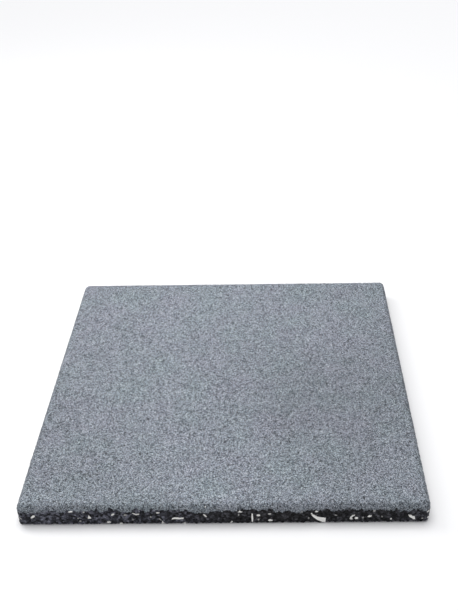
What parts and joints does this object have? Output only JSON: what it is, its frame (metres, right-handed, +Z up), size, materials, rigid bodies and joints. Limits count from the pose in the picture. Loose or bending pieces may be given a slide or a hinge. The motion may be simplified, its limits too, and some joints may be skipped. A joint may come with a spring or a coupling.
{
  "type": "rubber granulate pool underlay tile",
  "caption": "Square pool underlay tile of bonded rubber granulate: a bevelled light grey wear layer pressed onto a black base layer with pale flecks in its edges.",
  "frame": {"origin": "middle of the underside, on the surface that the tile lies on", "axes": "+Z up through the thickness, X and Y along the tile's edges"},
  "size_m": [0.5, 0.5, 0.03],
  "materials": {
    "grey_granulate": "matt pressed granulate, fine grain, grey pigmented binder",
    "black_granulate": "matt pressed granulate, coarse grain, black",
    "pale_fleck": "matt off-white rubber shreds in the base layer"
  },
  "bodies": {
    "root": {"wear_layer": "grey_granulate", "base_layer": "black_granulate"}
  },
  "joints": []
}
